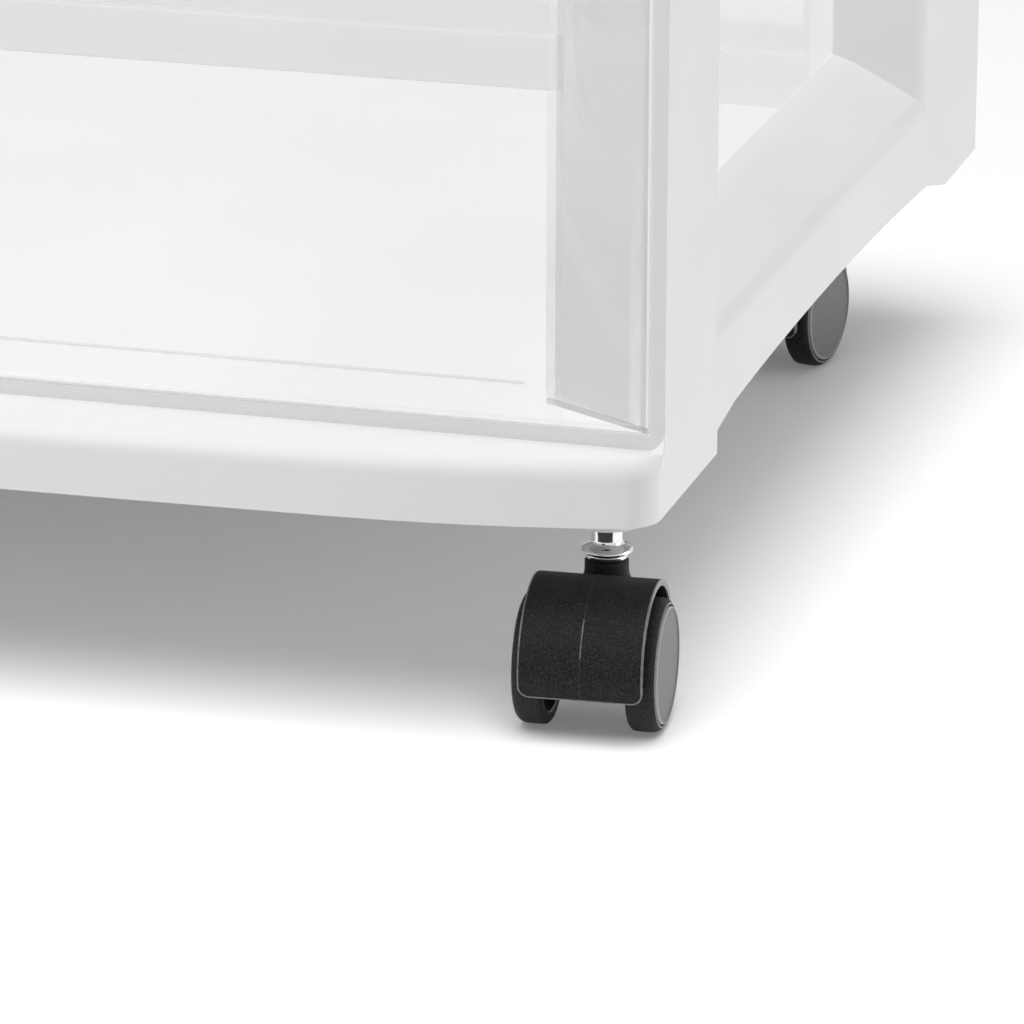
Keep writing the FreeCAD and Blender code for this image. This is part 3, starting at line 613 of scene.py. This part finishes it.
def soft_copy(node):
    """A node's shape with its edges eased, as they come out of a mould."""
    bm = copy_of(node)
    if node.startswith("side_frame"):
        rounded(bm, window_edge, WINDOW_ROUND, 6)
    weigh_edges(bm, lambda a, b: max(a.z, b.z) > Z_PAN + 0.3)
    paint_rim_shade(bm)
    layers = [WHITE, WHITE_PAINTED_SHADE]
    finish_piece(f"{node}_moulding", bm, "frame", layers, [node], MOULD_EDGE)


def window_edge(a, b):
    """Picks the windows' outer edges."""
    for v in (a, b):
        low = (v.z - Z_PAN) % TIER_PITCH
        at_level = min(abs(low - SILL_RISE), abs(low - TIER_PITCH + HEAD_DROP)) < 0.3
        between = WINDOW_FRONT - 0.3 < v.y < WINDOW_BACK + 0.3
        if abs(v.x) < HALF_WIDTH - 0.3 or not at_level or not between:
            return False
    return True


# Clear drawers
TUB_LAYERS = [CLEAR, CLEAR_FLARE, CLEAR_FLOOR, CLEAR_EDGE, CLEAR_SIDE]
FLARED, UNDER, CUT_EDGE, AT_SIDE = 1, 2, 3, 4


def drawer_tub(low, high):
    """The drawer's box: floor, sides, back and flared front corners, open in front."""
    path = [
        (TUB, TUB_BACK),
        (-TUB, TUB_BACK),
        (-TUB, TUB_FRONT),
        (-FLARE, PANEL_BACK),
        (FLARE, PANEL_BACK),
        (TUB, TUB_FRONT),
    ]
    bm = slab(path, low, high)
    rounded(bm, upright(TUB, TUB_BACK), 8.0, 6)
    rounded(bm, upright(TUB, TUB_FRONT), 6.0, 6)
    bmesh.ops.recalc_face_normals(bm, faces=bm.faces)
    open_faces = []
    # The flared faces take a grey tint (painted shade), the floor and the side walls a painted glow
    for face in bm.faces:
        middle = face.calc_center_median() / MM
        if face.normal.z < -0.9:
            face.material_index = UNDER
        elif abs(middle.x) > TUB + 0.2 and abs(face.normal.z) < 0.1:
            face.material_index = FLARED
        elif abs(face.normal.x) > 0.99:
            face.material_index = AT_SIDE
        if face.normal.z > 0.9 or (face.normal.y < -0.99 and middle.y < PANEL_BACK + 0.1):
            open_faces.append(face)
    bmesh.ops.delete(bm, geom=open_faces, context="FACES_ONLY")
    loose = [e for e in bm.edges if not e.link_faces]
    bmesh.ops.delete(bm, geom=loose, context="EDGES")
    bmesh.ops.solidify(bm, geom=bm.faces[:], thickness=DRAWER_WALL * MM)
    # The cut edges at the front take a darker tint: painted shade
    for face in bm.faces:
        if abs(face.normal.y) > 0.9 and face.calc_center_median().y < (PANEL_BACK + 1) * MM:
            face.material_index = CUT_EDGE
    return bm


def front_panel(low, high):
    """The flat front; its cut edges take a milky, glowing material, a painted highlight that makes
    them brighter than its faces.
    """
    bm = slab(box_path(-PANEL, PANEL, low, high), PANEL_FRONT, PANEL_BACK)
    turn = Matrix(((1, 0, 0, 0), (0, 0, 1, 0), (0, 1, 0, 0), (0, 0, 0, 1)))
    bmesh.ops.transform(bm, matrix=turn, verts=bm.verts)
    bmesh.ops.recalc_face_normals(bm, faces=bm.faces)
    for side in bm.faces:
        side.material_index = 1 if abs(side.normal.y) < 0.5 else 0
    return bm


def flare_foot(side, low):
    """A thin strip along the foot of a flared corner in a grey tint: painted shade that draws a
    grey line through the clear front.
    """
    outer = [(TUB - 0.3, TUB_FRONT + 0.6), (PANEL - 0.3, PANEL_BACK - 0.4)]
    inner = [(x - 0.6, y - 0.5) for x, y in reversed(outer)]
    return slab([(side * x, y) for x, y in outer + inner], low, low + 1.4)


def drawer_piece(tier, level):
    """A whole drawer: tub, front, rear band, the step in its floor, feet and pull."""
    low = Z_PAN + TIER_PITCH * level + DRAWER_GAP
    high = low + DRAWER_HEIGHT
    floor_top = low + DRAWER_WALL
    back = TUB_BACK - DRAWER_WALL

    def finish(part, bm, materials, replaced, bevel=0.0):
        name = f"drawer_{tier}_{part}"
        finish_piece(name, bm, f"{tier}_drawer", materials, replaced, bevel)

    finish("tub", drawer_tub(low, high), TUB_LAYERS, [f"drawer_{tier}"])
    finish("front", front_panel(low, high), [CLEAR, CLEAR_CUT], [])
    band = box_path(-TUB + 3, TUB - 3, back - BAND_DEPTH, back)
    finish("band", slab(band, floor_top, floor_top + BAND_HEIGHT), [CLEAR_BAND], [], 0.5)
    step = box_path(-TUB + 9, TUB - 9, STEP - STEP_HALF, STEP + STEP_HALF)
    finish("step", slab(step, floor_top, floor_top + STEP_HEIGHT), [CLEAR_BAND], [], 0.2)
    feet = [flare_foot(side, low + 0.05) for side in (-1, 1)]
    finish("lines", joined(*feet), [CLEAR_LINE], [], 0.1)
    outer = [(-PULL_HALF, PANEL_FRONT, PULL_SAG), (PULL_HALF, PANEL_FRONT)]
    inner = [(LIP_HALF, PANEL_FRONT, -LIP_SAG), (-LIP_HALF, PANEL_FRONT)]
    shelf = slab(outer[::-1], high - PULL_WALL, high)
    lip = slab(outer + inner, high - PULL_HEIGHT, high - PULL_WALL)
    finish("pull", joined(shelf, lip), [CLEAR_FLARE], [], 0.4)


# Casters
def hood_shell():
    """The round hood: a sheet turned over the wheels, with round lower corners, a painted
    highlight line all along its edge, and a seam down the middle with painted highlight on it."""
    r = HOOD_RADIUS
    half = [(-HOOD_HALF, r), (-SEAM_HALF, r)]
    line = half + [(0, r + SEAM_RISE)] + [(-x, out) for x, out in reversed(half)]
    first = math.radians(HOOD_START)
    across = Vector((0, -math.cos(first), -math.sin(first)))
    bm = turned(line, HOOD_CENTRE, (1, 0, 0), across, 60, -HOOD_SWEEP)
    start = mm(*HOOD_CENTRE) + across * r * MM
    low_rows = []
    for edge in bm.edges:
        near = max((v.co - start).yz.length for v in edge.verts) < HOOD_CORNER * MM
        a, b = (v.co for v in edge.verts)
        if near and not edge.is_boundary and (a - b).yz.length < 0.2 * MM:
            low_rows.append(edge)
    bmesh.ops.dissolve_edges(bm, edges=low_rows, use_verts=True)
    corners = [v for v in bm.verts if v.is_boundary and len(v.link_edges) == 2]
    bmesh.ops.bevel(
        bm,
        geom=corners,
        offset=HOOD_CORNER * MM,
        affect="VERTICES",
        segments=5,
        profile=0.5,
        material=-1,
    )
    # Painted highlight along the middle of the seam, between two heights
    for face in bm.faces:
        middle = face.calc_center_median() / MM
        if abs(middle.x) < 0.2 and SEAM_LOW < middle.z < SEAM_HIGH:
            face.material_index = 1
    # Painted highlight: a thin strip all along the sheet's edge takes the lighter material
    highlight_strip = bmesh.ops.inset_region(
        bm,
        faces=bm.faces[:],
        use_boundary=True,
        use_even_offset=True,
        thickness=EDGE_LINE * MM,
    )
    for face in highlight_strip["faces"]:
        face.material_index = 1
    bmesh.ops.solidify(bm, geom=bm.faces[:], thickness=HOOD_WALL * MM)
    return bm


def hood_web():
    """The solid middle of the hood, between the wheels, that carries the axle."""
    line = [(-WEB_HALF, 0), (-WEB_HALF, WEB_RADIUS), (WEB_HALF, WEB_RADIUS), (WEB_HALF, 0)]
    bm = turned(line, HOOD_CENTRE, (1, 0, 0), (0, 0, 1), 64)
    bmesh.ops.bisect_plane(
        bm,
        geom=bm.verts[:] + bm.edges[:] + bm.faces[:],
        dist=0.01 * MM,
        plane_co=mm(0, 0, WEB_LOW),
        plane_no=(0, 0, -1),
        clear_outer=True,
    )
    bmesh.ops.remove_doubles(bm, verts=bm.verts, dist=0.01 * MM)
    bmesh.ops.edgeloop_fill(bm, edges=[e for e in bm.edges if e.is_boundary])
    bmesh.ops.recalc_face_normals(bm, faces=bm.faces)
    return bm


def on_axle(line, side, bands):
    """A wheel part turned about the axle; its faces inside the bands, which are ranges
    of radius, take the second material."""
    bm = turned([(along * side, out) for along, out in line], AXLE_CENTRE, (1, 0, 0), (0, 0, 1), 80)
    for face in bm.faces:
        # Faces in the bands take the second material: painted highlight on the wheels' rims and the
        # discs' rounded rims
        out = (face.calc_center_median() - mm(*AXLE_CENTRE)).yz.length / MM
        if any(low < out < high for low, high in bands):
            face.material_index = 1
    return bm


def caster_pieces(corner, x, y, turn):
    """One caster: its hood on the swivel, two wheels with their discs, and the stem."""
    place = Matrix.Translation(mm(x, y, 0)) @ Matrix.Rotation(math.radians(turn), 4, "Z")
    neck = turned(NECK_LINE, (0, 0, NECK_TOP), (0, 0, 1), (1, 0, 0), 48)
    hood = finish_piece(
        f"hood_{corner}", joined(hood_shell(), hood_web(), neck), f"{corner}_swivel",
        [BLACK, BLACK_HIGHLIGHT], [f"caster_hood_{corner}"], HOOD_EDGE, 2, place,
    )
    # The hood's bevel faces take the lighter material too: painted highlight on its edges
    hood.modifiers["soft_edges"].material = 1
    hood.modifiers["soft_edges"].angle_limit = math.radians(50)
    for word, side in (("a", 1), ("b", -1)):
        body = f"{corner}_wheel_{word}"
        finish_piece(
            f"wheel_{corner}_{word}", on_axle(WHEEL_LINE, side, WHEEL_HIGHLIGHT_BANDS), body,
            [BLACK, BLACK_HIGHLIGHT], [f"caster_wheel_{corner}_{word}"], place=place,
        )
        finish_piece(
            f"disc_{corner}_{word}", on_axle(DISC_LINE, side, [(DISC_RIM_RADIUS, HOOD_RADIUS)]),
            body, [DISC, DISC_RIM_HIGHLIGHT], [f"wheel_cap_{corner}_{word}"], place=place,
        )
    stem = turned(STEM_LINE, (0, 0, 0), (0, 0, 1), (1, 0, 0), 56)
    replaced = [f"caster_stem_{corner}"]
    finish_piece(f"stem_{corner}", stem, "frame", [CHROME], replaced, place=place)


# The whole cart
base_moulding()
for node in ("side_frame_left", "side_frame_right", "shelf_lower", "shelf_upper", "top_panel"):
    soft_copy(node)
for level, tier in enumerate(TIERS):
    drawer_piece(tier, level)
for corner, (x, y, turn) in CORNERS.items():
    caster_pieces(corner, x, y, turn)
for name, node in nodes.items():
    if name.startswith(("grip_ring", "caster_axle")):
        node.data.materials.clear()
        node.data.materials.append(STEEL)


# Floor, light and camera
FLOOR_WHITE, FLOOR_UNSEEN, FLOOR_GLOW = 0.90, 0.75, 0.14
FLOOR_HALF = 30
WORLD_STRENGTH = 0.30
FRAME_PIXELS, FOCAL_PIXELS = 1024, 6600.5
SENSOR_WIDTH = 36.0
CAMERA_PLACE = (685.4, -1709.9, 579.6)
CAMERA_ANGLES = (15.83, 18.106, 0.202)


def seen_directly(tree):
    """One for rays from the camera, or by way of metal or clear plastic."""
    path = tree.nodes.new("ShaderNodeLightPath")
    total = path.outputs["Is Camera Ray"]
    for ray in ("Is Glossy Ray", "Is Transmission Ray"):
        larger = tree.nodes.new("ShaderNodeMath")
        larger.operation = "MAXIMUM"
        tree.links.new(total, larger.inputs[0])
        tree.links.new(path.outputs[ray], larger.inputs[1])
        total = larger.outputs["Value"]
    return total


def floor():
    bm = bmesh.new()
    bmesh.ops.create_grid(bm, x_segments=1, y_segments=1, size=FLOOR_HALF)
    plane = placed("studio_floor", mesh_of("studio_floor", bm))
    material = bpy.data.materials.new("studio_floor_paper")
    material.use_nodes = True
    tree = material.node_tree
    tree.nodes.clear()
    output = tree.nodes.new("ShaderNodeOutputMaterial")
    seen = tree.nodes.new("ShaderNodeBsdfDiffuse")
    seen.inputs["Color"].default_value = (FLOOR_WHITE,) * 3 + (1,)
    glow = tree.nodes.new("ShaderNodeEmission")
    glow.inputs["Strength"].default_value = FLOOR_GLOW
    both = tree.nodes.new("ShaderNodeAddShader")
    unseen = tree.nodes.new("ShaderNodeBsdfDiffuse")
    unseen.inputs["Color"].default_value = (FLOOR_UNSEEN,) * 3 + (1,)
    mix = tree.nodes.new("ShaderNodeMixShader")
    tree.links.new(seen.outputs["BSDF"], both.inputs[0])
    tree.links.new(glow.outputs["Emission"], both.inputs[1])
    tree.links.new(seen_directly(tree), mix.inputs["Fac"])
    tree.links.new(unseen.outputs["BSDF"], mix.inputs[1])
    tree.links.new(both.outputs["Shader"], mix.inputs[2])
    tree.links.new(mix.outputs["Shader"], output.inputs["Surface"])
    plane.data.materials.append(material)
    return plane


def area_light(name, place, target, size, power, lit=None, unlit=None):
    """A square lamp; lit and unlit name the only things that it reaches, or spares."""
    lamp = bpy.data.lights.new(name, "AREA")
    lamp.shape = "SQUARE"
    lamp.size = size
    lamp.energy = power
    holder = placed(name, lamp)
    holder.location = place
    aim = Vector(target) - Vector(place)
    holder.rotation_euler = aim.to_track_quat("-Z", "Y").to_euler()
    if lit or unlit:
        group = bpy.data.collections.new(f"{name}_reach")
        group.objects.link(lit or unlit)
        holder.light_linking.receiver_collection = group
        state = "INCLUDE" if lit else "EXCLUDE"
        group.collection_objects[0].light_linking.link_state = state


def dark_card(name, place, target, size):
    """A black card that only shows in reflections, for the contrast in the chrome."""
    bm = bmesh.new()
    bmesh.ops.create_grid(bm, x_segments=1, y_segments=1, size=size / 2)
    aim = Vector(target) - Vector(place)
    turn = aim.to_track_quat("Z", "Y").to_matrix().to_4x4()
    bmesh.ops.transform(bm, matrix=Matrix.Translation(place) @ turn, verts=bm.verts)
    card = placed(name, mesh_of(name, bm))
    material, _, shader = new_material(f"{name}_felt")
    shader.inputs["Base Color"].default_value = (0.01, 0.01, 0.01, 1)
    shader.inputs["Roughness"].default_value = 1.0
    card.data.materials.append(material)
    for ray in ("camera", "diffuse", "transmission", "shadow"):
        setattr(card, f"visible_{ray}", False)


def world_light(strength):
    world = bpy.data.worlds.new("studio")
    bpy.context.scene.world = world
    world.use_nodes = True
    tree = world.node_tree
    back = tree.nodes["Background"]
    back.inputs["Color"].default_value = (1, 1, 1, 1)
    back.inputs["Strength"].default_value = strength
    white = tree.nodes.new("ShaderNodeBackground")
    white.inputs["Strength"].default_value = 1.0
    mix = tree.nodes.new("ShaderNodeMixShader")
    output = tree.nodes["World Output"]
    tree.links.new(seen_directly(tree), mix.inputs["Fac"])
    tree.links.new(back.outputs["Background"], mix.inputs[1])
    tree.links.new(white.outputs["Background"], mix.inputs[2])
    tree.links.new(mix.outputs["Shader"], output.inputs["Surface"])


def camera():
    lens = bpy.data.cameras.new("camera")
    lens.sensor_width = SENSOR_WIDTH
    lens.lens = FOCAL_PIXELS / FRAME_PIXELS * SENSOR_WIDTH
    lens.clip_end = 200.0
    holder = placed("camera", lens)
    yaw, pitch, roll = (math.radians(a) for a in CAMERA_ANGLES)
    turn = Matrix.Rotation(yaw, 4, "Z") @ Matrix.Rotation(math.pi / 2 - pitch, 4, "X")
    holder.matrix_world = (
        Matrix.Translation(mm(*CAMERA_PLACE)) @ turn @ Matrix.Rotation(roll, 4, "Z")
    )
    bpy.context.scene.camera = holder


paper = floor()
world_light(WORLD_STRENGTH)
area_light("overhead", (-0.5, 0.1, 2.4), (0, 0, 0), 2.4, 20.0, unlit=paper)
area_light("front_left", (-0.9, -1.15, 1.5), (-0.1, -0.1, 0.1), 0.9, 20.0, unlit=paper)
area_light("right", (2.8, 0.8, 1.0), (0.2, 0, 0.2), 1.6, 27.0, unlit=paper)
area_light("over_floor", (0.5, -1.45, 3.0), (0, 0, 0), 2.6, 108.0, lit=paper)
dark_card("dark_card_left", (0.05, -1.3, 0.45), (0.27, -0.15, 0.04), 0.5)
dark_card("dark_card_low", (0.3, -0.44, 0.001), (0.3, -0.44, 1.0), 0.42)
camera()
bpy.context.scene.view_settings.view_transform = "Standard"
